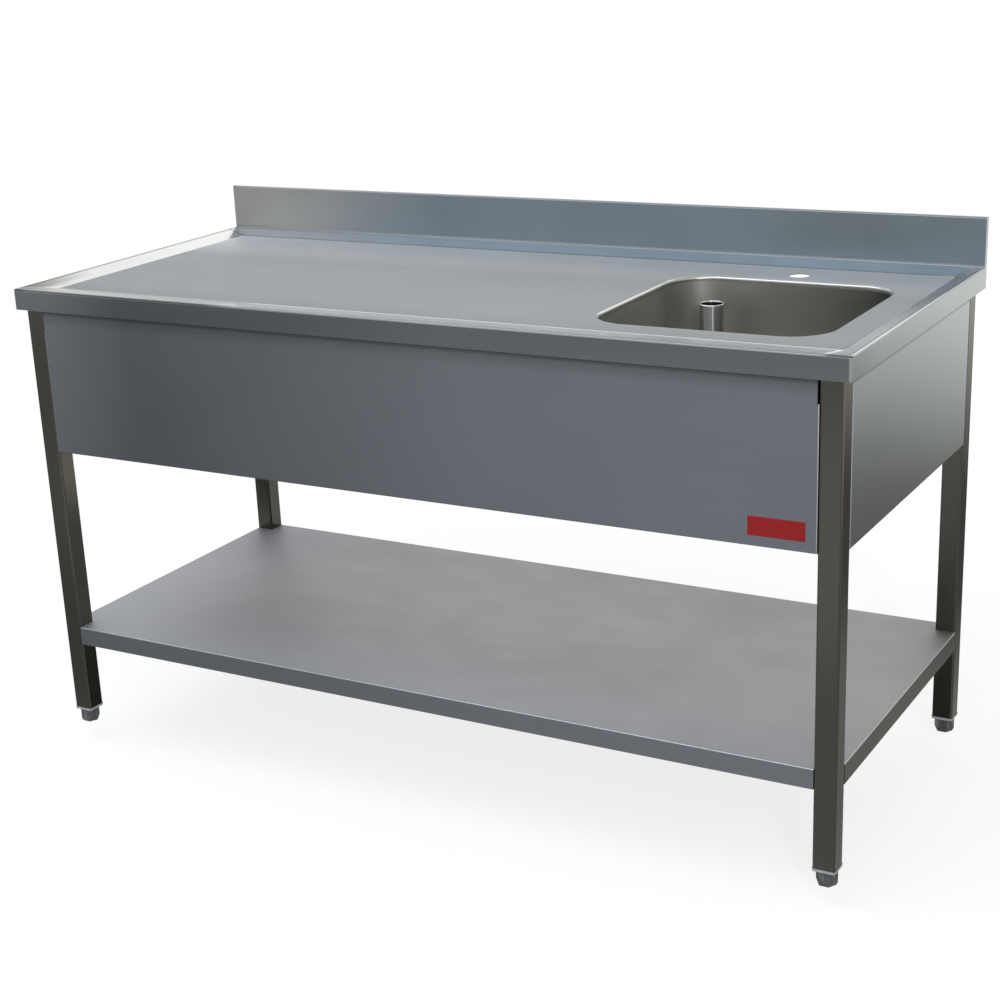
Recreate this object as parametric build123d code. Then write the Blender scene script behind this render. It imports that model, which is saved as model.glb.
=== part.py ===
from build123d import *
import os

# A stainless sink table: pressed worktop with upstand and drawn bowl, aprons, four legs on levelling feet
# and a shelf below. X runs along the table, Y from front to back, Z up. The origin is on the floor under
# the middle of the table. All sizes are in millimetres.

# Driving dimensions: the whole table
table_length = 1600
table_depth = 700
rim_height = 872

# Worktop: sheet, folded edges, pressed plane and upstand
top_sheet = 1.2
edge_height = 38
rear_edge_height = 27
edge_lip = 11
edge_radius = 3
edge_corner_radius = 6
edge_crest = 5
recess_depth = 12
border_front = 84
border_side = 40
border_rear = 30
recess_radius = 9
recess_corner_radius = 40
upstand_height = 86
upstand_thickness = 12
upstand_fold_radius = 2.5
upstand_foot_radius = 3

# Bowl, its drawn collar in the worktop and the tap hole behind it
bowl_length = 400
bowl_width = 400
bowl_depth = 250
bowl_corner = 70
bowl_floor_radius = 30
bowl_draft = 2
bowl_sheet = 1.2
bowl_lip_radius = 5
bowl_collar = 9
bowl_front_margin = 142
bowl_side_margin = 98
tap_hole_diameter = 35
tap_hole_behind_bowl = 46

# Aprons on the front and both ends; the back is open
apron_sheet = 1
apron_height = 272
apron_flange = 25
apron_fold_radius = 2
front_apron_proud = 1.5
apron_relief_width = 3
apron_relief_height = 40

# Hat-section channels under the worktop and the shelf
channel_web = 20
channel_flange = 9
channel_height = 25
channel_sheet = 1.2
channel_clearance = 1
channel_bays = 3
shelf_channel_spacing = 760

# Legs
leg_size = 38
leg_wall = 1.5
leg_corner = 4
leg_setback_front = 15
leg_setback_side = 14
leg_setback_rear = 7

# Shelf
shelf_height = 205
shelf_sheet = 1.2
shelf_fold = 35
shelf_lip = 12
shelf_fold_radius = 2

# Leg inserts and levelling feet
insert_collar = 5
insert_overhang = 1
insert_chamfer = 1.2
insert_plug = 32
insert_clearance = 0.3
foot_across_flats = 32
foot_height = 26
foot_taper_height = 6
foot_taper_angle = 20
foot_gap = 0.3
stem_diameter = 12
stem_length = 65
stem_clearance = 0.3

# Bolts, screwed into tapped holes in the legs
bolt_diameter = 8
bolt_head_across_flats = 13
bolt_head_height = 5.3
bolt_length = 16
bolt_clearance = 0.3
bolt_from_face = 13
apron_bolt_inset = 60
shelf_bolt_drop = 19

# Waste and standpipe
waste_from_left = 92
waste_from_rear = 92
waste_flange_diameter = 84
waste_flange = 3
waste_flange_edge = 1.5
tail_diameter = 47.8
tail_length = 26
outlet_diameter = 40
outlet_length = 42
outlet_wall = 3
seat_depth = 12
seat_mouth = 47
gasket_thickness = 2
gasket_diameter = 76
ring_nut_across_flats = 60
ring_nut_height = 12
waste_clearance = 0.3
standpipe_diameter = 42
standpipe_wall = 1.2
standpipe_below_rim = 40
standpipe_lip = 0.4
plug_neck = 12
plug_bore = 24

# How near to a height an edge lies to count as being at it
height_match = 0.01

# Places that follow from the driving dimensions
half_length = table_length / 2
front_y = -table_depth / 2
rear_y = table_depth / 2
plane_z = rim_height - recess_depth
under_plane_z = plane_z - top_sheet
edge_foot_z = rim_height - edge_height
rear_foot_z = rim_height - rear_edge_height
upstand_face_y = rear_y - upstand_thickness
upstand_top_z = rim_height + upstand_height

leg_outer_x = half_length - leg_setback_side
leg_inner_x = leg_outer_x - leg_size
leg_front_y = front_y + leg_setback_front
leg_rear_y = rear_y - leg_setback_rear
leg_x = leg_outer_x - leg_size / 2
leg_foot_z = foot_height + foot_gap + insert_collar
leg_top_z = under_plane_z - channel_sheet

channel_width = channel_web + 2 * channel_flange
channel_foot_z = under_plane_z - channel_height
apron_foot_z = channel_foot_z - apron_height
apron_span_low_y = leg_front_y + leg_size
apron_span_high_y = leg_rear_y - leg_size
shelf_under_z = shelf_height - shelf_sheet
shelf_foot_z = shelf_height - shelf_fold

bowl_right_x = half_length - bowl_side_margin
bowl_left_x = bowl_right_x - bowl_length
bowl_front_y = front_y + bowl_front_margin
bowl_rear_y = bowl_front_y + bowl_width
bowl_centre_x = (bowl_left_x + bowl_right_x) / 2
bowl_centre_y = (bowl_front_y + bowl_rear_y) / 2
bowl_seam_z = plane_z - bowl_collar
bowl_floor_z = plane_z - bowl_depth

waste_x = bowl_left_x + waste_from_left
waste_y = bowl_rear_y - waste_from_rear
flange_foot_z = bowl_floor_z + gasket_thickness
flange_top_z = flange_foot_z + waste_flange
under_bowl_z = bowl_floor_z - bowl_sheet
tail_radius = tail_diameter / 2
tail_foot_z = flange_foot_z - tail_length
outlet_foot_z = tail_foot_z - outlet_length
outlet_radius = outlet_diameter / 2
waste_bore = outlet_diameter - 2 * outlet_wall

# Heights of the bolts on a leg, and their holes
apron_bolt_z = (apron_foot_z + apron_bolt_inset, channel_foot_z - apron_bolt_inset)
shelf_bolt_z = shelf_height - shelf_bolt_drop
bolt_hole = bolt_diameter + 2 * bolt_clearance

UPWARD = (Align.CENTER, Align.CENTER, Align.MIN)


def span(x_low, x_high, y_low, y_high, z_low, z_high):
    """A block given by its limits along each axis."""
    middle = Pos((x_low + x_high) / 2, (y_low + y_high) / 2, z_low)
    return middle * Box(x_high - x_low, y_high - y_low, z_high - z_low, align=UPWARD)


def round_bar(diameter, length, place, along):
    """A round bar that starts at a place and runs in a direction."""
    return extrude(Plane(place, z_dir=along) * Circle(diameter / 2), amount=length)


def edges_at(shape, height):
    """The edges of a shape that lie at one height."""
    return shape.edges().filter_by_position(Axis.Z, height - height_match, height + height_match)


def hexagon(across_flats):
    """A hexagon given by its size across the flats."""
    return RegularPolygon(across_flats / 2, side_count=6, major_radius=False)


def folded_edge_block(inset):
    """The worktop's outside below the rim, drawn in by an inset, with its three front edges rounded."""
    block = span(
        -half_length + inset,
        half_length - inset,
        front_y + inset,
        rear_y - inset,
        edge_foot_z + inset,
        rim_height - inset,
    )
    corners = block.edges().filter_by(Axis.Z).group_by(Axis.Y)[0]
    block = fillet(corners, edge_corner_radius - inset)
    top_edges = block.edges().group_by(Axis.Z)[-1]
    rear_edge = top_edges.sort_by(Axis.Y)[-1]
    return fillet([edge for edge in top_edges if edge != rear_edge], edge_radius - inset)


def pressed_recess(drop):
    """The hollow pressed into the worktop: a level plane within sloped borders that run round its corners."""
    low_y = front_y + edge_crest
    length = table_length - 2 * edge_crest
    depth = upstand_face_y - low_y
    slope_side = border_side - edge_crest
    slope_front = border_front - edge_crest
    hollow = Wedge(
        length,
        recess_depth,
        depth,
        slope_side,
        slope_front,
        length - slope_side,
        depth - border_rear,
        align=(Align.CENTER, Align.MIN, Align.MIN),
    )
    corners = hollow.edges().group_by(Axis.Y)[1]
    hollow = fillet(corners, recess_corner_radius)
    return Pos(0, low_y, rim_height - drop) * Rot(-90, 0, 0) * hollow


def upstand_block():
    """The upstand's outside, rounded along its top, with the bend where it rises from the border."""
    foot_y = upstand_face_y - upstand_foot_radius - top_sheet
    foot_z = rim_height - upstand_foot_radius / 2
    outline = Polyline(
        (rear_y, edge_foot_z),
        (rear_y, upstand_top_z),
        (upstand_face_y, upstand_top_z),
        (upstand_face_y, foot_z),
        (foot_y, foot_z),
        (foot_y, edge_foot_z),
        close=True,
    )
    section = make_face(outline)
    section = fillet(section.vertices().group_by(Axis.Y)[-1], upstand_fold_radius)
    bend = section.vertices().sort_by_distance((upstand_face_y, foot_z))[0]
    section = fillet(bend, upstand_foot_radius)
    end = Plane((-half_length, 0, 0), x_dir=(0, 1, 0), z_dir=(1, 0, 0))
    return extrude(end * section, amount=table_length)


def bowl_outline(offset):
    """The bowl's opening in plan, grown by an offset."""
    outline = RectangleRounded(bowl_length + 2 * offset, bowl_width + 2 * offset, bowl_corner + offset)
    return Pos(bowl_centre_x, bowl_centre_y) * outline


def round_opening_edges(sheet, level, radius):
    """Rounds the edges of the bowl's opening that lie at one level."""
    reach_x = bowl_length / 2 + bowl_lip_radius
    reach_y = bowl_width / 2 + bowl_lip_radius
    ring = [
        edge
        for edge in edges_at(sheet, level)
        if abs(edge.center().X - bowl_centre_x) < reach_x
        and abs(edge.center().Y - bowl_centre_y) < reach_y
    ]
    return fillet(ring, radius)


def make_worktop():
    """One sheet: pressed plane, rounded edge, down-folds with lips, box upstand open below, drawn collar."""
    outside = folded_edge_block(0) - pressed_recess(0)
    outside = fillet(edges_at(outside, plane_z), recess_radius)
    outside = outside + upstand_block()
    hollow = folded_edge_block(top_sheet) - pressed_recess(top_sheet)
    mouth_reach = half_length - top_sheet - edge_lip
    mouth = span(
        -mouth_reach,
        mouth_reach,
        front_y + top_sheet + edge_lip,
        rear_y - top_sheet,
        edge_foot_z,
        edge_foot_z + top_sheet,
    )
    upstand_hollow = span(
        -half_length + top_sheet,
        half_length - top_sheet,
        upstand_face_y + top_sheet,
        rear_y - top_sheet,
        edge_foot_z,
        upstand_top_z - top_sheet,
    )
    rear_gap = span(
        -half_length + top_sheet,
        half_length - top_sheet,
        rear_y - top_sheet,
        rear_y,
        edge_foot_z,
        rear_foot_z,
    )
    sheet = outside - hollow - mouth - upstand_hollow - rear_gap
    collar = extrude(Pos(0, 0, bowl_seam_z) * bowl_outline(bowl_sheet), amount=bowl_collar)
    opening = extrude(Pos(0, 0, bowl_seam_z) * bowl_outline(0), amount=bowl_collar)
    sheet = sheet + collar - opening
    sheet = round_opening_edges(sheet, under_plane_z, bowl_lip_radius - top_sheet)
    sheet = round_opening_edges(sheet, plane_z, bowl_lip_radius)
    tap_place = (bowl_centre_x, bowl_rear_y + tap_hole_behind_bowl, under_plane_z)
    return sheet - round_bar(tap_hole_diameter, top_sheet, tap_place, (0, 0, 1))


def bowl_form(offset):
    """The bowl as a block with drafted walls and a rounded floor, grown by an offset."""
    height = bowl_seam_z - bowl_floor_z + offset
    seam = Plane.XY.offset(bowl_seam_z)
    block = extrude(seam * bowl_outline(offset), amount=-height)
    walls = block.faces().sort_by(Axis.Z)[1:-1]
    block = draft(walls, seam, -bowl_draft)
    floor_edges = block.faces().sort_by(Axis.Z)[0].edges()
    return fillet(floor_edges, bowl_floor_radius + offset)


def make_bowl():
    """Deep-drawn bowl, welded edge to edge under the worktop's collar, with the waste hole in its corner."""
    bowl = bowl_form(bowl_sheet) - bowl_form(0)
    hole_place = (waste_x, waste_y, under_bowl_z)
    return bowl - round_bar(tail_diameter + 2 * waste_clearance, bowl_sheet, hole_place, (0, 0, 1))


def hat_channel(x, y_low, y_high, top_z):
    """Hat-section channel from front to back: flanges on top, web below."""
    web = Rectangle(channel_web, channel_height, align=(Align.CENTER, Align.MAX))
    inner_size = (channel_web - 2 * channel_sheet, channel_height - channel_sheet)
    inner = Rectangle(*inner_size, align=(Align.CENTER, Align.MAX))
    flanges = Rectangle(channel_width, channel_sheet, align=(Align.CENTER, Align.MAX))
    section = web + flanges - inner
    front_end = Plane((x, y_low, top_z), x_dir=(1, 0, 0), z_dir=(0, -1, 0))
    return extrude(front_end * section, amount=y_low - y_high)


def folded_panel(length, height, proud, bolt_levels):
    """Apron: a face that stands proud of Y zero, flanges folded back on all four sides and bolted ends."""
    inner_radius = apron_fold_radius - apron_sheet
    outer = span(-length / 2, length / 2, 0, apron_flange, 0, height)
    outer = fillet(outer.faces().sort_by(Axis.Y)[0].edges(), apron_fold_radius)
    inner = span(
        -length / 2 + apron_sheet,
        length / 2 - apron_sheet,
        apron_sheet,
        apron_flange,
        apron_sheet,
        height - apron_sheet,
    )
    inner = fillet(inner.faces().sort_by(Axis.Y)[0].edges(), inner_radius)
    panel = outer - inner
    for level in bolt_levels:
        for side in (-1, 1):
            end = (side * length / 2, proud + bolt_from_face, level)
            panel -= round_bar(bolt_hole, apron_sheet, end, (-side, 0, 0))
    return Pos(0, -proud, 0) * panel


def relieved(panel, length, height):
    """An apron cut back at both upper corners, so that its end flanges stop below the worktop's edge."""
    relief = Box(2 * apron_relief_width, 2 * apron_flange, 2 * apron_relief_height)
    for side in (-1, 1):
        panel -= Pos(side * length / 2, 0, height) * relief
    return panel


def make_leg(side_x, side_y):
    """Square tube with tapped holes in the two faces that the aprons and the shelf meet."""
    bore = leg_size - 2 * leg_wall
    section = RectangleRounded(leg_size, leg_size, leg_corner)
    section -= RectangleRounded(bore, bore, leg_corner - leg_wall)
    foot = Pos(side_x * leg_x, leg_middle_y(side_y), leg_foot_z)
    leg = extrude(foot * section, amount=leg_top_z - leg_foot_z)
    for place, inward in leg_bolts(side_x, side_y):
        leg -= round_bar(bolt_hole, leg_wall, place, inward)
    return leg


def leg_middle_y(side_y):
    """The middle of the front or the rear legs along Y."""
    return leg_front_y + leg_size / 2 if side_y < 0 else leg_rear_y - leg_size / 2


def leg_bolts(side_x, side_y):
    """Where bolts enter a leg: a point on the leg's face and the direction into the tube."""
    outer_face_y = leg_front_y if side_y < 0 else leg_rear_y
    inner_face_y = outer_face_y - side_y * leg_size
    along_y = outer_face_y - side_y * bolt_from_face
    across_x = side_x * (leg_outer_x - bolt_from_face)
    levels = (*apron_bolt_z, shelf_bolt_z)
    along_levels = levels if side_y < 0 else (shelf_bolt_z,)
    bolts = [((side_x * leg_inner_x, along_y, z), (side_x, 0, 0)) for z in along_levels]
    bolts += [((across_x, inner_face_y, z), (0, side_y, 0)) for z in levels]
    return bolts


def make_bolt(place, inward, sheet):
    """Hexagon bolt whose head bears on the sheet against the leg and whose shank goes into the tube."""
    seat = Plane(place, z_dir=inward).offset(-sheet)
    head = extrude(seat * hexagon(bolt_head_across_flats), amount=-bolt_head_height)
    shank = extrude(seat * Circle(bolt_diameter / 2), amount=bolt_length)
    return head + shank


def shelf_plan(inset, notch):
    """The shelf in plan, drawn in by an inset, with square notches round the legs."""
    middle_y = (leg_front_y + leg_rear_y) / 2
    size_x = 2 * leg_outer_x - 2 * inset
    size_y = leg_rear_y - leg_front_y - 2 * inset
    plan = Pos(0, middle_y) * Rectangle(size_x, size_y)
    for side_x in (-1, 1):
        for side_y in (-1, 1):
            plan -= Pos(side_x * leg_x, leg_middle_y(side_y)) * Rectangle(notch, notch)
    return plan


def make_shelf():
    """Folded tray between the legs, notched at its corners, with lips at the foot of its folds."""
    inner_notch = leg_size + 2 * shelf_sheet
    tray = extrude(Pos(0, 0, shelf_foot_z) * shelf_plan(0, leg_size), amount=shelf_fold)
    fold_edges = [edge for edge in tray.edges().group_by(Axis.Z)[-1] if edge.length > inner_notch]
    tray = fillet(fold_edges, shelf_fold_radius)
    hollow = Pos(0, 0, shelf_foot_z + shelf_sheet) * shelf_plan(shelf_sheet, inner_notch)
    mouth = Pos(0, 0, shelf_foot_z) * shelf_plan(shelf_sheet + shelf_lip, inner_notch)
    tray -= extrude(hollow, amount=shelf_fold - 2 * shelf_sheet)
    tray -= extrude(mouth, amount=shelf_sheet)
    for side_x in (-1, 1):
        for side_y in (-1, 1):
            for place, (step_x, step_y, step_z) in leg_bolts(side_x, side_y):
                if place[2] == shelf_bolt_z:
                    tray -= round_bar(bolt_hole, shelf_sheet, place, (-step_x, -step_y, step_z))
    return tray


def make_insert(x, y):
    """Plastic end piece of a leg: a collar under the tube and a plug inside it, bored for the screw."""
    collar_size = leg_size + 2 * insert_overhang
    collar_outline = RectangleRounded(collar_size, collar_size, leg_corner + insert_overhang)
    collar = extrude(Pos(x, y, leg_foot_z) * collar_outline, amount=-insert_collar)
    collar = chamfer(collar.faces().sort_by(Axis.Z)[0].edges(), insert_chamfer)
    plug_inset = leg_wall + insert_clearance
    plug_size = leg_size - 2 * plug_inset
    plug_outline = RectangleRounded(plug_size, plug_size, leg_corner - plug_inset)
    plug = extrude(Pos(x, y, leg_foot_z) * plug_outline, amount=insert_plug)
    bore_place = (x, y, leg_foot_z - insert_collar)
    bore = round_bar(stem_diameter + 2 * stem_clearance, insert_collar + insert_plug, bore_place, (0, 0, 1))
    return collar + plug - bore


def make_foot(x, y):
    """Levelling foot: hexagonal head, tapered to the floor, on a screw stem."""
    level = Pos(x, y, foot_taper_height)
    outline = hexagon(foot_across_flats)
    head = extrude(level * outline, amount=foot_height - foot_taper_height)
    taper = extrude(level * outline, amount=-foot_taper_height, taper=foot_taper_angle)
    return head + taper + round_bar(stem_diameter, stem_length, (x, y, foot_height), (0, 0, 1))


def revolved(points):
    """A turned piece about the waste's axis, from its half section of radius and height pairs."""
    section = make_face(Plane.XZ * Polyline(*points, close=True))
    return Pos(waste_x, waste_y) * revolve(section, Axis.Z)


def make_waste_body():
    """Waste: flange in the bowl, conical seat for the plug, tail through the floor and a plain outlet."""
    flange_radius = waste_flange_diameter / 2
    return revolved(
        [
            (seat_mouth / 2, flange_top_z),
            (flange_radius - waste_flange_edge, flange_top_z),
            (flange_radius, flange_top_z - waste_flange_edge),
            (flange_radius, flange_foot_z),
            (tail_radius, flange_foot_z),
            (tail_radius, tail_foot_z),
            (outlet_radius, tail_foot_z),
            (outlet_radius, outlet_foot_z),
            (waste_bore / 2, outlet_foot_z),
            (waste_bore / 2, flange_top_z - seat_depth),
        ]
    )


def make_gasket(foot_z):
    """Flat rubber ring round the waste's tail."""
    ring = Circle(gasket_diameter / 2) - Circle(tail_radius + waste_clearance)
    return extrude(Pos(waste_x, waste_y, foot_z) * ring, amount=gasket_thickness)


def make_ring_nut():
    """Hexagonal ring nut that draws the waste up under the bowl."""
    ring = hexagon(ring_nut_across_flats) - Circle(tail_radius + waste_clearance)
    return extrude(Pos(waste_x, waste_y, under_bowl_z - gasket_thickness) * ring, amount=-ring_nut_height)


def make_plug():
    """Rubber plug: a cone in the waste's seat, a shoulder under the tube and a neck inside it."""
    tube_bore = standpipe_diameter / 2 - standpipe_wall
    cone_slope = (seat_mouth - waste_bore) / 2 / seat_depth
    cone_top = seat_mouth / 2 - waste_clearance
    cone_foot = cone_top - cone_slope * (seat_depth - waste_clearance)
    foot_z = flange_top_z - seat_depth + waste_clearance
    return revolved(
        [
            (plug_bore / 2, foot_z),
            (cone_foot, foot_z),
            (cone_top, flange_top_z),
            (tube_bore - waste_clearance, flange_top_z),
            (tube_bore - waste_clearance, flange_top_z + plug_neck),
            (plug_bore / 2, flange_top_z + plug_neck),
        ]
    )


def make_standpipe():
    """Overflow tube, open at both ends, with a softened upper lip."""
    ring = Circle(standpipe_diameter / 2) - Circle(standpipe_diameter / 2 - standpipe_wall)
    height = rim_height - standpipe_below_rim - flange_top_z
    tube = extrude(Pos(waste_x, waste_y, flange_top_z) * ring, amount=height)
    return chamfer(tube.faces().sort_by(Axis.Z)[-1].edges(), standpipe_lip)


# Worktop and bowl, and the channels: flanges of the end ones lie on the legs, the front ends on the apron
nodes = {"worktop": make_worktop(), "sink_bowl": make_bowl()}
channel_low_y = leg_front_y + apron_sheet + channel_clearance
channel_high_y = leg_rear_y - apron_sheet - channel_clearance
end_channel_x = leg_inner_x - channel_clearance - channel_web / 2
bowl_channel_x = bowl_left_x - bowl_lip_radius - channel_clearance - channel_width / 2
channel_pitch = (bowl_channel_x + end_channel_x) / channel_bays
channel_places = [bay * channel_pitch - end_channel_x for bay in range(channel_bays + 1)]
channel_places.append(end_channel_x)
for number, x in enumerate(channel_places, 1):
    nodes[f"worktop_channel_{number}"] = hat_channel(x, channel_low_y, channel_high_y, under_plane_z)

# Aprons, made facing the front and turned to their side of the table
apron_levels = [z - apron_foot_z for z in apron_bolt_z]
side_length = apron_span_high_y - apron_span_low_y
side_middle_y = (apron_span_low_y + apron_span_high_y) / 2
front_length = 2 * leg_inner_x
front_panel = folded_panel(front_length, apron_height, front_apron_proud, apron_levels)
front_panel = relieved(front_panel, front_length, apron_height)
side_panel = folded_panel(side_length, apron_height, 0, apron_levels)
nodes["front_apron"] = Pos(0, leg_front_y, apron_foot_z) * front_panel
nodes["right_apron"] = Pos(leg_outer_x, side_middle_y, apron_foot_z) * Rot(0, 0, 90) * side_panel
nodes["left_apron"] = Pos(-leg_outer_x, side_middle_y, apron_foot_z) * Rot(0, 0, -90) * side_panel

# Shelf and its channels
nodes["undershelf"] = make_shelf()
shelf_low_y = leg_front_y + shelf_sheet + channel_clearance
shelf_high_y = leg_rear_y - shelf_sheet - channel_clearance
for name, side in (("left", -1), ("right", 1)):
    x = side * shelf_channel_spacing / 2
    nodes[f"shelf_channel_{name}"] = hat_channel(x, shelf_low_y, shelf_high_y, shelf_under_z)

# Legs with their inserts, feet and bolts
apron_bolts = []
shelf_bolts = []
corners = {"front_left": (-1, -1), "front_right": (1, -1), "rear_left": (-1, 1), "rear_right": (1, 1)}
for name, (side_x, side_y) in corners.items():
    y = leg_middle_y(side_y)
    nodes[f"leg_{name}"] = make_leg(side_x, side_y)
    nodes[f"leg_insert_{name}"] = make_insert(side_x * leg_x, y)
    nodes[f"levelling_foot_{name}"] = make_foot(side_x * leg_x, y)
    for place, inward in leg_bolts(side_x, side_y):
        on_shelf = place[2] == shelf_bolt_z
        group = shelf_bolts if on_shelf else apron_bolts
        group.append(make_bolt(place, inward, shelf_sheet if on_shelf else apron_sheet))
nodes["apron_bolts"] = Compound(apron_bolts)
nodes["shelf_bolts"] = Compound(shelf_bolts)

# Waste and standpipe
nodes["waste_body"] = make_waste_body()
nodes["waste_upper_gasket"] = make_gasket(bowl_floor_z)
nodes["waste_lower_gasket"] = make_gasket(under_bowl_z - gasket_thickness)
nodes["waste_ring_nut"] = make_ring_nut()
nodes["standpipe_plug"] = make_plug()
nodes["standpipe"] = make_standpipe()

os.makedirs("parts", exist_ok=True)
for name, shape in nodes.items():
    export_step(shape, f"parts/{name}.step")
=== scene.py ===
from math import radians

import bpy
import numpy as np
from mathutils import Matrix, Vector


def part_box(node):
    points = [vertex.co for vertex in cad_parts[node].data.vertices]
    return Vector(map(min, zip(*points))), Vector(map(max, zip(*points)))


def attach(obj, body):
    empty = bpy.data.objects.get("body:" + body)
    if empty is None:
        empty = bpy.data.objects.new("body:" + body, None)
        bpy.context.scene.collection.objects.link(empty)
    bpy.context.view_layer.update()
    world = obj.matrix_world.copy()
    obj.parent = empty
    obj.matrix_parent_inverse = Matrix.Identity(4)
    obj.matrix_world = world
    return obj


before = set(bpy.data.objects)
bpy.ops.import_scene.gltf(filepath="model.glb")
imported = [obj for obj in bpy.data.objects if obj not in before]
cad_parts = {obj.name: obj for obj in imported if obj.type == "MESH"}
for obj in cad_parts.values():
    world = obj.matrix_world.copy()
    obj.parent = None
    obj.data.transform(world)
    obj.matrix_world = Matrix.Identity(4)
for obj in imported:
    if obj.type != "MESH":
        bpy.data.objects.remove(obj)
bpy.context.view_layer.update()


# Legs: four square stainless tubes, ground along their length, which leaves a fine upright grain.
# They stand outside the aprons and carry the worktop's end channels on their sawn tops; their
# colour is darkened with painted shade, and the rear left one is darker still with painted shade.
# Painted shade: the legs' colour is far darker than bare ground steel.
LEG_SHADED_COLOUR = (0.14, 0.131, 0.109)
LEG_GRAIN = (1100, 1100, 4)
LEG_ROUGHNESS = (0.24, 0.28)
GRAIN_DETAIL = 3.0
GRAIN_DEPTH = 0.000005
GRAIN_SHARE = 0.35
STEEL_TONES = (0.95, 1.05)
CLOUD_SCALE = (3.1, 3.1, 3.1)
CLOUD_OFFSET = (0.3, 0.7, 0.1)
WAVE_SCALE = (2.3, 2.3, 1.2)
WAVE_OFFSET = (0.9, 0.2, 0.5)
ACROSS_UPRIGHT_GRAIN = 0.0
GRAIN_SPREAD = 0.7
# Painted shade: the rear left leg is darkened to half its tone.
REAR_LEFT_SHADE = ("Y", 0.2, 0.25), ("X", 0.0, -0.1)
REAR_LEFT_SHADE_TONE = 0.5
CORNERS = ("front_left", "front_right", "rear_left", "rear_right")


def connect(tree, node, inputs):
    """Sets a node's inputs: a socket is linked, and a number or a colour is set as it is."""
    for name, value in inputs.items():
        if isinstance(value, bpy.types.NodeSocket):
            tree.links.new(value, node.inputs[name])
        else:
            node.inputs[name].default_value = value


def add_node(tree, kind, inputs, **settings):
    """A new node of a kind, with its settings and its inputs."""
    node = tree.nodes.new(kind)
    for name, setting in settings.items():
        setattr(node, name, setting)
    connect(tree, node, inputs)
    return node


def new_material(name):
    """An empty node material: itself, its node tree and its principled shader."""
    material = bpy.data.materials.new(name)
    material.use_nodes = True
    return material, material.node_tree, material.node_tree.nodes["Principled BSDF"]


def own_place(tree):
    """A point's place in the piece's own coordinates, in metres."""
    return tree.nodes.new("ShaderNodeTexCoord").outputs["Object"]


def coordinate(tree, axis):
    """A point's own coordinate along one axis."""
    shares = add_node(tree, "ShaderNodeSeparateXYZ", {"Vector": own_place(tree)})
    return shares.outputs[axis]


def pattern(tree, scale, detail=2.0, offset=(0, 0, 0)):
    """Noise on the piece's own coordinates, with a scale per metre along each axis."""
    place = {"Vector": own_place(tree), "Location": offset, "Scale": scale}
    mapping = add_node(tree, "ShaderNodeMapping", place)
    look = {"Vector": mapping.outputs["Vector"], "Scale": 1.0, "Detail": detail}
    return add_node(tree, "ShaderNodeTexNoise", look).outputs["Fac"]


def spread(tree, value, low, high, start=0.3, end=0.7):
    """Brings the range from start to end of a value to the range from low to high."""
    limits = {"From Min": start, "From Max": end, "To Min": low, "To Max": high}
    return add_node(tree, "ShaderNodeMapRange", {"Value": value, **limits}).outputs["Result"]


def passed(tree, value, start, end):
    """The share, from none to all, in which a value has gone from a start to an end."""
    return spread(tree, value, 0.0, 1.0, start, end)


def combine(tree, operation, *values):
    """The sum, product or highest of all values, by the name of the operation."""
    total = values[0]
    for value in values[1:]:
        node = add_node(tree, "ShaderNodeMath", {0: total, 1: value}, operation=operation)
        total = node.outputs["Value"]
    return total


def blend_values(tree, factor, first, second):
    """Goes from a first value to a second one by a factor."""
    ends = {"Factor": factor, "A": first, "B": second}
    return add_node(tree, "ShaderNodeMix", ends).outputs["Result"]


def shade(tree, factor, first, second):
    """Goes from a first colour to a second one by a factor."""
    ends = {"Factor": factor, "A": (*first, 1), "B": (*second, 1)}
    return add_node(tree, "ShaderNodeMix", ends, data_type="RGBA").outputs["Result"]


def relief(tree, height, depth, under=None):
    """A bump of a pattern, on top of another one where one is given."""
    bump = add_node(tree, "ShaderNodeBump", {"Height": height, "Distance": depth})
    if under is not None:
        connect(tree, bump, {"Normal": under})
    return bump.outputs["Normal"]


def tone(colour, factor):
    """A colour made lighter or darker."""
    return tuple(channel * factor for channel in colour)


def grey(level):
    """A grey of a level, as a colour."""
    return (level, level, level)


def facing(tree, axis):
    """How far a surface looks along an axis, either way: the square of its normal's share."""
    normal = tree.nodes.new("ShaderNodeNewGeometry").outputs["Normal"]
    share = add_node(tree, "ShaderNodeSeparateXYZ", {"Vector": normal}).outputs[axis]
    return combine(tree, "MULTIPLY", share, share)


def brushed_steel(name, colour, grain, roughness, waves=0.0):
    """Ground stainless steel: fine streaks in gloss, tone and relief, soft clouds, slight waves.

    Where the grain runs along X, faces that look along X take it turned to Y.
    """
    material, tree, shader = new_material(name)
    streaks = pattern(tree, grain, GRAIN_DETAIL)
    if grain[0] < grain[1]:
        turned = pattern(tree, (grain[1], grain[0], grain[2]), GRAIN_DETAIL)
        streaks = blend_values(tree, facing(tree, "X"), streaks, turned)
    clouds = pattern(tree, CLOUD_SCALE, offset=CLOUD_OFFSET)
    fine = spread(tree, streaks, 0.0, GRAIN_SHARE)
    broad = spread(tree, clouds, 0.0, 1.0 - GRAIN_SHARE)
    ends = [tone(colour, factor) for factor in STEEL_TONES]
    swell = None
    if waves:
        swell = relief(tree, pattern(tree, WAVE_SCALE, 0.0, WAVE_OFFSET), waves)
    connect(tree, shader, {
        "Base Color": shade(tree, combine(tree, "ADD", fine, broad), *ends),
        "Roughness": spread(tree, streaks, *roughness),
        "Normal": relief(tree, streaks, GRAIN_DEPTH, swell),
        "Metallic": 1.0,
    })
    return material


def across_grain(material, turn, amount=GRAIN_SPREAD):
    """Spreads a steel's reflections across its grain, turned by a share of a full turn."""
    shader = material.node_tree.nodes["Principled BSDF"]
    shader.inputs["Anisotropic"].default_value = amount
    shader.inputs["Anisotropic Rotation"].default_value = turn


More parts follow.
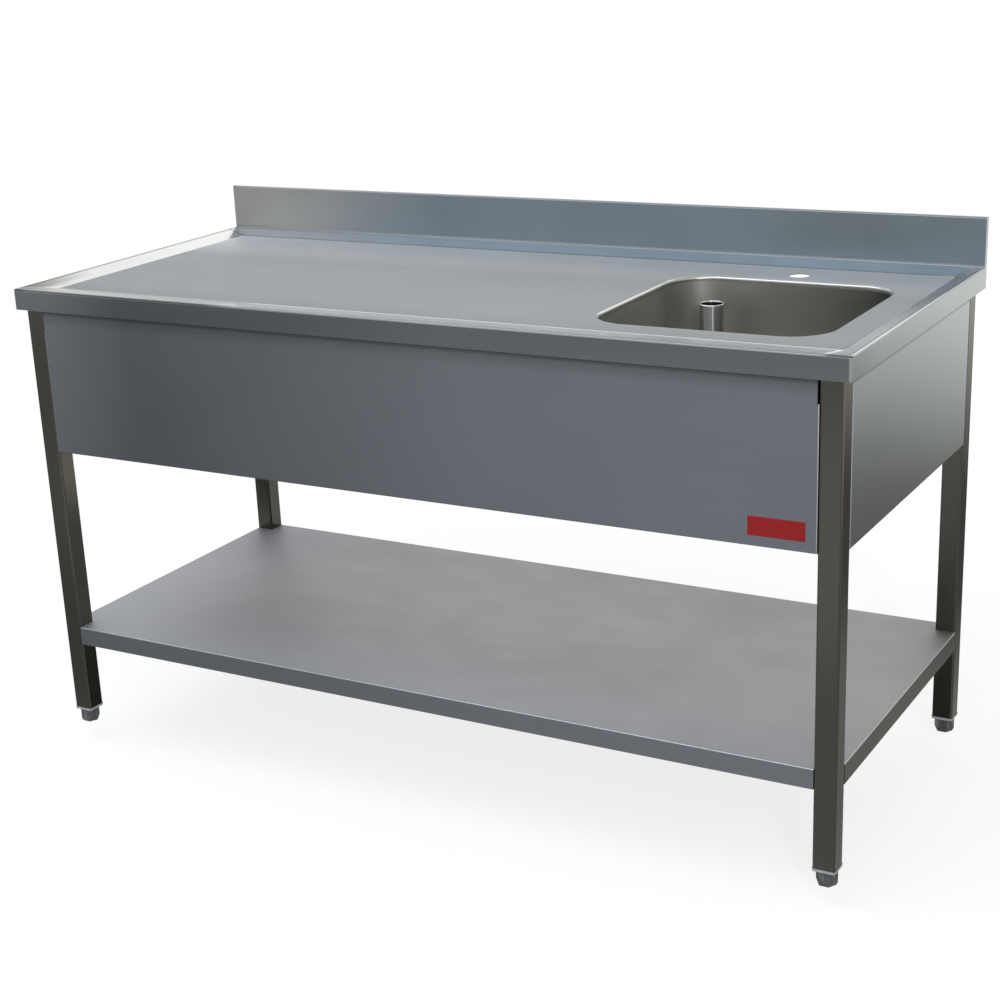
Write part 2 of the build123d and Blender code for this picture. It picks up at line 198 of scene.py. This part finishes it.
def region(tree, spans, upward=None):
    """The share of a surface past all the spans, each an axis and two places along it.

    Where upward is given, it holds two limits, between which faces that look up or down come in.
    """
    shares = [passed(tree, coordinate(tree, axis), *places) for axis, *places in spans]
    if upward is not None:
        shares.append(passed(tree, facing(tree, "Z"), *upward))
    return combine(tree, "MULTIPLY", *shares)


def recolour(tree, share, colour, way="MULTIPLY"):
    """Multiplies the shader's colour by another one, or mixes it in, in the share of a value."""
    base = tree.nodes["Principled BSDF"].inputs["Base Color"]
    ends = {"Factor": share, "A": base.links[0].from_socket, "B": (*colour, 1)}
    mix = add_node(tree, "ShaderNodeMix", ends, data_type="RGBA", blend_type=way)
    tree.links.new(mix.outputs["Result"], base)


def tint_region(material, colour, *spans, upward=None):
    """Changes a steel's tone to a colour's share of it in the region that the spans give."""
    recolour(material.node_tree, region(material.node_tree, spans, upward), colour)


def finish(material, *names):
    """Gives CAD nodes their finished material."""
    for name in names:
        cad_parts[name].material_slots[0].material = material


tube_finish = brushed_steel("tube_steel_upright_grain", LEG_SHADED_COLOUR, LEG_GRAIN, LEG_ROUGHNESS)
across_grain(tube_finish, ACROSS_UPRIGHT_GRAIN)
tint_region(tube_finish, grey(REAR_LEFT_SHADE_TONE), *REAR_LEFT_SHADE)
finish(tube_finish, *[f"leg_{corner}" for corner in CORNERS])


# Leg inserts: moulded grey plastic ends pushed into the tubes, with a collar below the steel.
# Levelling feet: dark moulded hexagons on screw stems, scuffed pale where the floor rubs them.
INSERT_COLOUR = (0.25, 0.27, 0.275)
INSERT_SCUFF = (0.42, 0.44, 0.44)
INSERT_ROUGHNESS = (0.4, 0.55)
FOOT_COLOUR = (0.05, 0.053, 0.053)
FOOT_SCUFF = (0.17, 0.17, 0.165)
FOOT_ROUGHNESS = (0.4, 0.6)
MOULD_GRAIN = (900, 900, 900)
MOULD_DEPTH = 0.00008
SCUFF_SCALE = (160, 160, 60)
SCUFF_DETAIL = 4.0
SCUFF_OFFSET = (3, 1, 2)
SCUFF_LIMITS = (0.5, 0.78)


def moulded_plastic(name, colour, scuff_and_painted_tones, roughness):
    """Moulded plastic: a fine matt grain and small scuffs in a paler colour."""
    material, tree, shader = new_material(name)
    grain = pattern(tree, MOULD_GRAIN)
    scuffs = pattern(tree, SCUFF_SCALE, SCUFF_DETAIL, SCUFF_OFFSET)
    connect(tree, shader, {
        "Base Color": shade(tree, passed(tree, scuffs, *SCUFF_LIMITS), colour, scuff_and_painted_tones),
        "Roughness": spread(tree, grain, *roughness),
        "Normal": relief(tree, grain, MOULD_DEPTH),
    })
    return material


insert_finish = moulded_plastic(
    "grey_plastic_moulded", INSERT_COLOUR, INSERT_SCUFF, INSERT_ROUGHNESS
)
foot_finish = moulded_plastic("dark_plastic_scuffed", FOOT_COLOUR, FOOT_SCUFF, FOOT_ROUGHNESS)
finish(insert_finish, *[f"leg_insert_{corner}" for corner in CORNERS])
finish(foot_finish, *[f"levelling_foot_{corner}" for corner in CORNERS])


# Aprons: trays folded from one-millimetre sheet, ground along their length, bolted between the
# legs. Under the worktop's fold they are darkened with painted shade; the front one is darker on
# its left half, has painted highlights on the bends at its ends, and takes a darker copy of the
# sheet's colour as painted shade.
# Painted shade: the front apron takes a darker copy of the colour of the end aprons' sheet.
FRONT_APRON_SHADED_COLOUR = (0.228, 0.24, 0.258)
SHEET_ROUGHNESS = (0.28, 0.32)
GRAIN_ALONG = (4, 1100, 1100)
ACROSS_LEVEL_GRAIN = 0.25
SHEET_WAVES = 0.003
APRON_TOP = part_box("front_apron")[1].z
# Painted shade under the worktop's fold: the top 30 mm of the front apron, darker still just below
# its edge.
FOLD_SHADE = ("Z", APRON_TOP - 0.03, APRON_TOP)
FOLD_SHADE_TONE = 0.65
FOLD_SHADE_EDGE = ("Z", APRON_TOP - 0.011, APRON_TOP - 0.002)
FOLD_SHADE_EDGE_TONE = 0.43
# The front apron is darker on its left half.
APRON_LEFT_DARKER = ("X", 0.15, -0.5), ("X", -0.75, -0.55)
APRON_LEFT_TONE = 0.68
APRON_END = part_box("front_apron")[1].x
# Painted highlight: a bright line on the bends at the front apron's ends.
BEND_HIGHLIGHT_SPAN = (APRON_END - 0.002, APRON_END - 0.001)
BEND_HIGHLIGHT_TONE = 2.2
END_COLOUR = (0.37, 0.388, 0.395)
END_ROUGHNESS = (0.24, 0.27)
# Painted shade under the worktop's fold on the end aprons.
END_FOLD_SHADE = ("Z", APRON_TOP - 0.0155, APRON_TOP - 0.0115)
END_FOLD_SHADE_TONE = 0.4
apron_finish = brushed_steel(
    "apron_steel_front_shaded", FRONT_APRON_SHADED_COLOUR, GRAIN_ALONG, SHEET_ROUGHNESS, SHEET_WAVES
)
across_grain(apron_finish, ACROSS_LEVEL_GRAIN)
tint_region(apron_finish, grey(FOLD_SHADE_TONE), FOLD_SHADE)
tint_region(apron_finish, grey(FOLD_SHADE_EDGE_TONE), FOLD_SHADE_EDGE)
tint_region(apron_finish, grey(APRON_LEFT_TONE), *APRON_LEFT_DARKER)
for side in (-1, 1):
    tint_region(apron_finish, grey(BEND_HIGHLIGHT_TONE), ("X", side * BEND_HIGHLIGHT_SPAN[0], side * BEND_HIGHLIGHT_SPAN[1]))
finish(apron_finish, "front_apron")
end_finish = brushed_steel(
    "apron_steel_ends", END_COLOUR, GRAIN_ALONG, END_ROUGHNESS, SHEET_WAVES
)
across_grain(end_finish, ACROSS_LEVEL_GRAIN)
tint_region(end_finish, grey(END_FOLD_SHADE_TONE), END_FOLD_SHADE)
finish(end_finish, "right_apron", "left_apron")


# Undershelf: a tray folded from one sheet, notched round the legs, with two hat channels glued
# below. The same ground sheet, scoured duller on top by the pots that are pushed over it, and
# darker towards the back and on its right-hand fold.
SHELF_COLOUR = (0.312, 0.319, 0.334)
SHELF_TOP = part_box("undershelf")[1].z
SHELF_FACE = (SHELF_TOP - 0.0005, SHELF_TOP)
SCOURED_ROUGHNESS = (0.58, 0.62)
SCOUR_SCALE = (9, 14, 9)
FLAT_FACES = (0.93, 0.98)
HEIGHT_BLUR = 0.0005
SHELF_REAR_DARKER = ("Y", 0.02, 0.3)
SHELF_TONE = (0.86, 0.86, 0.87)
SHELF_RIGHT = ("X", 0.779, 0.784), ("Z", SHELF_TOP - 0.001, SHELF_TOP - 0.003)
SHELF_RIGHT_TONE = (0.45, 0.38, 0.32)


def roughen(tree, share, scale, roughness):
    """Takes the shader's roughness over to that of a pattern, in the share that a value gives."""
    gloss = tree.nodes["Principled BSDF"].inputs["Roughness"]
    scouring = spread(tree, pattern(tree, scale), *roughness)
    tree.links.new(blend_values(tree, share, gloss.links[0].from_socket, scouring), gloss)


def dull(material, axis, heights, roughness, *scuff_and_painted_tones):
    """Makes a steel more matt where it looks along an axis between two heights, as scouring does.

    Each painted tone of light or shade that is given holds an axis, two places along it and a
    colour: from the first place to the second one the tone of the dulled face goes over to that
    colour's share.
    """
    tree = material.node_tree
    height = coordinate(tree, "Z")
    above = passed(tree, height, heights[0] - HEIGHT_BLUR, heights[0])
    below = passed(tree, height, heights[1] + HEIGHT_BLUR, heights[1])
    flat = passed(tree, facing(tree, axis), *FLAT_FACES)
    share = combine(tree, "MULTIPLY", above, below, flat)
    roughen(tree, share, SCOUR_SCALE, roughness)
    for *span, colour in scuff_and_painted_tones:
        recolour(tree, combine(tree, "MULTIPLY", share, region(tree, [span])), colour)


shelf_finish = brushed_steel(
    "shelf_steel", SHELF_COLOUR, GRAIN_ALONG, SHEET_ROUGHNESS, SHEET_WAVES
)
dull(shelf_finish, "Z", SHELF_FACE, SCOURED_ROUGHNESS)
tint_region(shelf_finish, SHELF_TONE, SHELF_REAR_DARKER)
tint_region(shelf_finish, SHELF_RIGHT_TONE, *SHELF_RIGHT)
finish(shelf_finish, "undershelf", "shelf_channel_left", "shelf_channel_right")


# Bolts: plain hexagon bolts, hidden behind the aprons and under the shelf, screwed into the legs.
# Pickled stainless, duller and more even than the ground sheet.
FIXING_COLOUR = (0.4, 0.4, 0.385)
FIXING_GRAIN = (500, 500, 500)
FIXING_ROUGHNESS = (0.3, 0.42)
fixing_finish = brushed_steel(
    "fixing_steel_plain", FIXING_COLOUR, FIXING_GRAIN, FIXING_ROUGHNESS
)
finish(fixing_finish, "apron_bolts", "shelf_bolts", "waste_ring_nut")


# Worktop: one sheet with a pressed plane, sloped borders, folded edges and a box upstand along
# the back; five hat channels below stiffen it. Ground along its length and scoured on the plane
# and the right border. Painted light brightens its plane towards the upstand and the upstand's
# left end;
# painted shade darkens its front, the upstand towards its right, its grooves, crests and left end;
# a painted highlight brightens the front border; and it is darker on the left of its front fold.
TOP_COLOUR = (0.335, 0.352, 0.362)
TOP_ROUGHNESS = (0.19, 0.22)
TOP_WAVES = 0.0012
TOP_PLANE = 0.86
PLANE_FACE = (TOP_PLANE - 0.0005, TOP_PLANE + 0.0005)
# Painted light brightens the plane, and painted shade halves it towards the front, so that it is
# brightest by the upstand.
PLANE_PAINTED_LIGHT = ("X", 2.0, 1.0, grey(1.37))
PLANE_FRONT_SHADE = ("Y", 0.32, 0.1, grey(0.5))
UPSTAND_FACE = (0.876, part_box("worktop")[1].z)
UPSTAND_ROUGHNESS = (0.4, 0.46)
# Painted shade with a bluish painted reflection darkens the upstand towards its right; painted
# light warms and brightens its left end.
UPSTAND_RIGHT_SHADE = ("X", -0.68, -0.3, (0.6, 0.68, 0.72))
UPSTAND_LEFT_LIGHT = ("X", -0.45, -0.6, (1.09, 1.03, 0.96))
BORDER_SPANS = ("X", 0.753, 0.755), ("X", 0.793, 0.791), ("Y", 0.1, -0.25)
BORDER_ROUGHNESS = (0.5, 0.56)
BORDER_TONE = 0.84
SLOPED_FACES = (0.5, 0.7)
# Painted shade darkens the worktop towards its front edge.
FRONT_SHADE = ("Y", -0.2, -0.33)
FRONT_SHADE_TONE = (0.8, 0.8, 0.785)
# The front fold is darker on its left part.
FOLD_LEFT_DARKER = ("X", 0.1, -0.45), ("X", -0.72, -0.56), ("Y", -0.345, -0.349)
FOLD_LEFT_TONE = 0.63
# Painted shade darkens the left border's rim and front end, the front crest, the upstand's foot
# and rim, and a line along the rear.
LEFT_RIM_SHADE = [("X", -0.7905, -0.7928)]
LEFT_END_SHADE = ("X", -0.768, -0.779), ("Y", -0.15, -0.32)
# Painted highlight: the front border's faces that look up are brightened.
FRONT_BORDER_HIGHLIGHT = ("Y", -0.264, -0.268), ("X", -0.36, -0.3), ("X", 0.765, 0.755)
FRONT_CREST_SHADE = [("Y", -0.335, -0.346)]
FOOT_LINE_SHADE = ("Y", 0.3325, 0.3345), ("Z", 0.885, 0.88)
UPSTAND_RIM_SHADE = [("Z", 0.9545, 0.9565)]
REAR_LINE_SHADE = ("Y", 0.3035, 0.3045), ("Y", 0.3095, 0.3085), ("X", 0.74, 0.73)
LEVEL_FACES = (0.02, 0.2)
# Painted light and shade on faces that look up or down: each entry holds its spans and its tone.
PAINTED_EDGE_TONES = (
    (LEFT_RIM_SHADE, 0.42),
    (LEFT_END_SHADE, 0.22),
    (FRONT_BORDER_HIGHLIGHT, 2.6),
    (FRONT_CREST_SHADE, 0.21),
    (FOOT_LINE_SHADE, 0.5),
    (UPSTAND_RIM_SHADE, 0.36),
    (REAR_LINE_SHADE, 0.5),
)
top_finish = brushed_steel("worktop_steel", TOP_COLOUR, GRAIN_ALONG, TOP_ROUGHNESS, TOP_WAVES)
dull(top_finish, "Z", PLANE_FACE, SCOURED_ROUGHNESS, PLANE_PAINTED_LIGHT, PLANE_FRONT_SHADE)
dull(top_finish, "Y", UPSTAND_FACE, UPSTAND_ROUGHNESS, UPSTAND_RIGHT_SHADE, UPSTAND_LEFT_LIGHT)
scoured = region(top_finish.node_tree, BORDER_SPANS, SLOPED_FACES)
roughen(top_finish.node_tree, scoured, SCOUR_SCALE, BORDER_ROUGHNESS)
recolour(top_finish.node_tree, scoured, grey(BORDER_TONE))
tint_region(top_finish, FRONT_SHADE_TONE, FRONT_SHADE)
tint_region(top_finish, grey(FOLD_LEFT_TONE), *FOLD_LEFT_DARKER)
for spans, level in PAINTED_EDGE_TONES:
    tint_region(top_finish, grey(level), *spans, upward=LEVEL_FACES)
finish(top_finish, "worktop", *[f"worktop_channel_{number}" for number in range(1, 6)])


# Bowl: deep-drawn in one piece and welded under the worktop's collar, satin inside from the
# drawing. Its steel looks warmer, because it mirrors itself several times over, and painted shade
# darkens it towards its right-hand side and towards its mouth.
BOWL_COLOUR = (0.66, 0.64, 0.585)
BOWL_GRAIN = (700, 700, 12)
BOWL_ROUGHNESS = (0.34, 0.38)
BOWL_LOW, BOWL_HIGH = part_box("sink_bowl")
# Painted shade darkens the bowl towards its right-hand side.
RIGHT_SIDE_SHADE = ("X", BOWL_LOW.x + 0.05, BOWL_HIGH.x)
RIGHT_SIDE_SHADE_TONE = (0.2, 0.215, 0.22)
# Painted shade darkens the bowl's walls towards its mouth.
MOUTH_SHADE = ("Z", BOWL_HIGH.z - 0.12, BOWL_HIGH.z - 0.02)
MOUTH_SHADE_TONE = (0.68, 0.7, 0.7)
COLLAR_COLOUR = (0.37, 0.365, 0.345)
COLLAR_REACH = (0.29, 0.288)
STEEP_FACES = (0.97, 0.3)


def satin_collar(material, middle, colour, roughness):
    """Gives the steep faces round a point the bowl's colour and the satin that drawing leaves."""
    tree = material.node_tree
    ends = {0: own_place(tree), 1: middle}
    away = add_node(tree, "ShaderNodeVectorMath", ends, operation="DISTANCE").outputs["Value"]
    near = passed(tree, away, *COLLAR_REACH)
    steep = passed(tree, facing(tree, "Z"), *STEEP_FACES)
    share = combine(tree, "MULTIPLY", near, steep)
    roughen(tree, share, BOWL_GRAIN, roughness)
    recolour(tree, share, colour, "MIX")


bowl_mouth = (BOWL_LOW + BOWL_HIGH) / 2.0
bowl_mouth.z = TOP_PLANE
bowl_finish = brushed_steel("bowl_steel_drawn", BOWL_COLOUR, BOWL_GRAIN, BOWL_ROUGHNESS)
tint_region(bowl_finish, RIGHT_SIDE_SHADE_TONE, RIGHT_SIDE_SHADE)
tint_region(bowl_finish, MOUTH_SHADE_TONE, MOUTH_SHADE)
satin_collar(top_finish, bowl_mouth, COLLAR_COLOUR, BOWL_ROUGHNESS)
finish(bowl_finish, "sink_bowl")


# Waste: a bright turned body clamped through the bowl's floor between two rubber gaskets by a
# ring nut. Overflow tube: turned bright steel with a painted highlight on its rim and painted
# shade in its bore, standing on a rubber plug in the waste's seat; both lift out together.
WASTE_COLOUR = (0.5, 0.495, 0.485)
TUBE_COLOUR = (0.33, 0.326, 0.32)
TURNED_GRAIN = (40, 40, 2600)
TURNED_ROUGHNESS = (0.3, 0.36)
TURNED_SPREAD = 0.9
TUBE_LOW, TUBE_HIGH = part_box("standpipe")
TUBE_WALL = 0.0012
BORE_BLUR = 0.0002
# Painted shade: the tube's bore is darkened almost to black.
BORE_SHADE_TONE = 0.08
RIM_FOOT = TUBE_HIGH.z - 0.002
# Painted highlight: the top of the tube's rim is brightened almost threefold.
RIM_HIGHLIGHT_TONE = 2.8
RUBBER_COLOUR = (0.022, 0.022, 0.022)
RUBBER_SCUFF = tone(RUBBER_COLOUR, 2.2)
RUBBER_ROUGHNESS = (0.6, 0.75)


def shaded_bore(material, middle, radius, top, colour):
    """Paints shade into the bore of a tube, within a radius of its axis and below a top."""
    tree = material.node_tree
    place = {"Vector": own_place(tree), "Location": (-middle.x, -middle.y, 0), "Scale": (1, 1, 0)}
    across = add_node(tree, "ShaderNodeMapping", place).outputs["Vector"]
    away = add_node(tree, "ShaderNodeVectorMath", {0: across}, operation="LENGTH").outputs["Value"]
    inside = passed(tree, away, radius, radius - BORE_BLUR)
    below = passed(tree, coordinate(tree, "Z"), top, top - HEIGHT_BLUR)
    recolour(tree, combine(tree, "MULTIPLY", inside, below), colour)


tube_middle = (TUBE_LOW + TUBE_HIGH) / 2.0
middle_of_wall = (TUBE_HIGH.x - TUBE_LOW.x) / 2.0 - TUBE_WALL / 2.0
waste_finish = brushed_steel(
    "bright_steel_waste", WASTE_COLOUR, TURNED_GRAIN, TURNED_ROUGHNESS
)
overflow_finish = brushed_steel(
    "bright_steel_overflow", TUBE_COLOUR, TURNED_GRAIN, TURNED_ROUGHNESS
)
across_grain(overflow_finish, ACROSS_LEVEL_GRAIN, TURNED_SPREAD)
shaded_bore(overflow_finish, tube_middle, middle_of_wall, RIM_FOOT, grey(BORE_SHADE_TONE))
tint_region(overflow_finish, grey(RIM_HIGHLIGHT_TONE), ("Z", RIM_FOOT, RIM_FOOT + HEIGHT_BLUR))
rubber_finish = moulded_plastic(
    "black_rubber_matt", RUBBER_COLOUR, RUBBER_SCUFF, RUBBER_ROUGHNESS
)
finish(waste_finish, "waste_body")
finish(overflow_finish, "standpipe")
finish(rubber_finish, "waste_upper_gasket", "waste_lower_gasket", "standpipe_plug")


# Plate: a small bare plate stuck to the front apron near its right end, pressed metal under red
# enamel, slightly domed and rolled down to the apron all round.
PLATE_MIDDLE = (0.6832, 0.5947)
PLATE_SIZE = (0.0928, 0.0315)
PLATE_CORNER = 0.0016
PLATE_ROLL = 0.0013
PLATE_HEIGHT = 0.0012
PLATE_DOME = 0.0005
ROLL_RINGS = 8
DOME_RINGS = 12
CORNER_POINTS = 9
INNER_RING = 0.96
LEAST_CORNER = 0.2
PLATE_COLOUR = (0.2, 0.004, 0.005)
PLATE_PALE = (0.225, 0.006, 0.007)
ENAMEL_ROUGHNESS = (0.26, 0.38)
ENAMEL_CLOUDS = (60, 60, 60)
ENAMEL_DETAIL = 3.0
PEEL_SCALE = (700, 700, 700)
PEEL_DEPTH = 0.00003


def domed_plate(name, middle, face_y, size, corner, roll, height, dome):
    """A closed plate of rings along a rounded rectangle, each drawn in by a step from the rim.

    A ring's point lies at its corner's centre plus the corner radius turned by an angle. A ring
    drawn in by d stands out by the height times a quarter ellipse over the roll's width, plus the
    dome times the parabola of d over half the plate's width, so that the rim meets the apron and
    the middle is highest.
    """
    half = np.array(size) / 2.0
    on_roll = roll * np.sin(np.linspace(0.0, 1.0, ROLL_RINGS) * np.pi / 2.0) ** 2
    on_dome = np.linspace(roll, half[1] * INNER_RING, DOME_RINGS)[1:]
    steps = np.concatenate([on_roll, on_dome])
    quarter = np.linspace(0.0, np.pi / 2.0, CORNER_POINTS)
    angle = (quarter[None, :] + np.arange(4)[:, None] * np.pi / 2.0).reshape(-1)
    signs = np.array([(1, 1), (-1, 1), (-1, -1), (1, -1)], float)
    side = np.repeat(signs, CORNER_POINTS, axis=0)
    radius = np.maximum(corner - steps, corner * LEAST_CORNER)
    reach = half[None, :] - steps[:, None] - radius[:, None]
    across = side[None, :, 0] * reach[:, None, 0] + radius[:, None] * np.cos(angle)[None, :]
    upward = side[None, :, 1] * reach[:, None, 1] + radius[:, None] * np.sin(angle)[None, :]
    rise = np.sqrt(1.0 - (1.0 - np.minimum(steps / roll, 1.0)) ** 2)
    stand = height * rise + dome * (1.0 - (1.0 - steps / half[1]) ** 2)
    out = face_y - np.repeat(stand[:, None], angle.size, axis=1)
    points = np.stack([middle[0] + across, out, middle[1] + upward], axis=-1).reshape(-1, 3)
    row, column = np.meshgrid(np.arange(steps.size - 1), np.arange(angle.size), indexing="ij")
    following = (column + 1) % angle.size
    low, high = row * angle.size, (row + 1) * angle.size
    corners = [low + column, low + following, high + following, high + column]
    quads = np.stack(corners, axis=-1).reshape(-1, 4)
    rim = np.arange(angle.size)
    inner = rim + (steps.size - 1) * angle.size
    faces = quads.tolist() + [rim[::-1].tolist(), inner.tolist()]
    mesh = bpy.data.meshes.new(name)
    mesh.from_pydata(points.tolist(), [], faces)
    mesh.polygons.foreach_set("use_smooth", np.arange(len(faces)) < len(quads))
    piece = bpy.data.objects.new(name, mesh)
    bpy.context.scene.collection.objects.link(piece)
    return piece


def enamel(name, colour, pale):
    """Fired enamel: a deep colour with faint clouds, a slightly uneven gloss and a clear coat."""
    material, tree, shader = new_material(name)
    clouds = pattern(tree, ENAMEL_CLOUDS, ENAMEL_DETAIL)
    connect(tree, shader, {
        "Base Color": shade(tree, spread(tree, clouds, 0.0, 1.0), colour, pale),
        "Roughness": spread(tree, clouds, *ENAMEL_ROUGHNESS),
        "Normal": relief(tree, pattern(tree, PEEL_SCALE), PEEL_DEPTH),
        "Specular IOR Level": 0.2,
        "Coat Weight": 0.1,
        "Coat Roughness": 0.12,
    })
    return material


apron_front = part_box("front_apron")[0].y
plate = domed_plate(
    "apron_plate", PLATE_MIDDLE, apron_front, PLATE_SIZE,
    PLATE_CORNER, PLATE_ROLL, PLATE_HEIGHT, PLATE_DOME,
)
plate.data.materials.append(enamel("red_enamel", PLATE_COLOUR, PLATE_PALE))
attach(plate, "table")


# Stage: a pale floor at the height that the feet reach when they are screwed fully out, and a
# white surround. Soft lamps stand behind, above and beside the camera; grey cards on the floor,
# which only the steel mirrors, lie in front, at the right end and below.
FLOOR_Z = -0.0405
FLOOR_REACH = 40.0
FLOOR_COLOUR = (0.95, 0.95, 0.95)
FLOOR_ROUGHNESS = 0.9
FLOOR_GLOW = 1.03
SHADOW_SHARE = 0.22
SHADOW_REACH = (1.4, 2.6)
WHITE = (1.0, 1.0, 1.0)
SURROUND_LIGHT = 0.55
CARD_Z = FLOOR_Z + 0.001
COOL_GREY = (0.95, 1.0, 1.06)
PLAIN_GREY = (1.0, 1.015, 0.995)
# Each card: low corner, high corner, the axis it fades along, from where to where, levels, colour.
CARDS = {
    "card_far": ((-7.0, -9.0), (2.0, -3.2), "X", (-4.3, -3.3), (0.48, 0.28), COOL_GREY),
    "card_middle": ((-7.0, -3.2), (0.82, -1.3), "X", (-2.7, -0.3), (0.26, 0.6), COOL_GREY),
    "card_near": ((-6.0, -1.3), (0.82, -0.42), "X", (-1.1, 0.4), (0.22, 0.4), COOL_GREY),
    "card_right_near": ((0.82, -3.2), (2.8, 1.1), "Y", (0.6, 1.1), (0.36, 0.12), PLAIN_GREY),
    "card_right_far": ((0.82, 1.1), (2.8, 5.5), "Y", (1.9, 4.3), (0.12, 1.15), PLAIN_GREY),
    "card_below": ((-0.8, -0.35), (0.8, 0.36), "X", (-0.8, 0.8), (0.06, 0.06), COOL_GREY),
}
# Each lamp: place, width and height, colour, brightness.
LAMPS = {
    "window_behind": ((-0.4, 3.6, 3.0), (6.8, 1.6), (1.05, 1.0, 0.91), 1.2),
    "sky_above": ((-0.8, -1.4, 3.5), (5.2, 1.8), (0.88, 0.98, 1.16), 3.3),
    "strip_beside_camera": ((2.68, -3.42, 2.44), (0.3, 0.9), WHITE, 60.0),
}
LAMP_TARGET = Vector((0.0, 0.0, 0.8))


def flat_card(name, low, high, level, material):
    """A level rectangle of the stage, from its low to its high corner."""
    outline = [(low[0], low[1]), (high[0], low[1]), (high[0], high[1]), (low[0], high[1])]
    mesh = bpy.data.meshes.new(name)
    mesh.from_pydata([(*corner, level) for corner in outline], [], [(0, 1, 2, 3)])
    mesh.materials.append(material)
    card = bpy.data.objects.new(name, mesh)
    bpy.context.scene.collection.objects.link(card)
    return card


def glow(tree, colour, strength):
    """Plain light of one colour."""
    light = {"Color": (*colour, 1), "Strength": strength}
    return add_node(tree, "ShaderNodeEmission", light).outputs["Emission"]


floor_finish, tree, shader = new_material("floor_pale")
connect(tree, shader, {"Base Color": (*FLOOR_COLOUR, 1), "Roughness": FLOOR_ROUGHNESS})
away = add_node(tree, "ShaderNodeVectorMath", {0: own_place(tree)}, operation="LENGTH")
shadow = spread(tree, away.outputs["Value"], SHADOW_SHARE, 0.0, *SHADOW_REACH)
surface = {0: shadow, 1: glow(tree, WHITE, FLOOR_GLOW), 2: shader.outputs["BSDF"]}
mix = add_node(tree, "ShaderNodeMixShader", surface)
connect(tree, tree.nodes["Material Output"], {"Surface": mix.outputs["Shader"]})
floor_corner = (FLOOR_REACH, FLOOR_REACH)
flat_card("floor", (-FLOOR_REACH, -FLOOR_REACH), floor_corner, FLOOR_Z, floor_finish)

for name, (low, high, axis, limits, levels, colour) in CARDS.items():
    card_finish, tree, _ = new_material(f"{name}_grey")
    strength = spread(tree, coordinate(tree, axis), *levels, *limits)
    output = tree.nodes["Material Output"]
    connect(tree, output, {"Surface": glow(tree, colour, strength)})
    card = flat_card(name, low, high, CARD_Z, card_finish)
    card.visible_camera = False
    card.visible_diffuse = False
    card.visible_shadow = False

world = bpy.data.worlds.new("white_surround")
world.use_nodes = True
tree = world.node_tree
path = tree.nodes.new("ShaderNodeLightPath").outputs
rays = [path[f"Is {kind} Ray"] for kind in ("Camera", "Glossy", "Transmission")]
surround = spread(tree, combine(tree, "MAXIMUM", *rays), SURROUND_LIGHT, 1.0, 0.0, 1.0)
connect(tree, tree.nodes["Background"], {"Color": (*WHITE, 1), "Strength": surround})
bpy.context.scene.world = world

for name, (spot, (width, height), colour, brightness) in LAMPS.items():
    light = bpy.data.lights.new(name, "AREA")
    light.shape = "RECTANGLE"
    light.size, light.size_y = width, height
    light.color = colour
    light.energy = brightness * np.pi * width * height
    lamp = bpy.data.objects.new(name, light)
    aim = (LAMP_TARGET - Vector(spot)).to_track_quat("-Z", "Y").to_matrix().to_4x4()
    lamp.matrix_world = Matrix.Translation(spot) @ aim
    lamp.visible_camera = False
    bpy.context.scene.collection.objects.link(lamp)


# Camera: a long lens in front of the right end, a little above the worktop and slightly rolled.
# Its shift is what the frame needs.
CAMERA_PLACE = (1.6529, -2.8667, 1.5174)
CAMERA_PAN = 30.893
CAMERA_TILT = -19.279
CAMERA_ROLL = -2.749
CAMERA_LENS = 67.357
CAMERA_SENSOR = 36.0
CAMERA_SHIFT = (0.0326, 0.0502)
LEVEL_VIEW = 90
lens = bpy.data.cameras.new("camera")
lens.lens = CAMERA_LENS
lens.sensor_width = CAMERA_SENSOR
lens.shift_x, lens.shift_y = CAMERA_SHIFT
camera = bpy.data.objects.new("camera", lens)
pan = Matrix.Rotation(radians(CAMERA_PAN), 4, "Z")
tilt = Matrix.Rotation(radians(LEVEL_VIEW + CAMERA_TILT), 4, "X")
roll = Matrix.Rotation(radians(CAMERA_ROLL), 4, "Z")
camera.matrix_world = Matrix.Translation(CAMERA_PLACE) @ pan @ tilt @ roll
bpy.context.scene.collection.objects.link(camera)
bpy.context.scene.camera = camera
bpy.context.scene.view_settings.view_transform = "Standard"
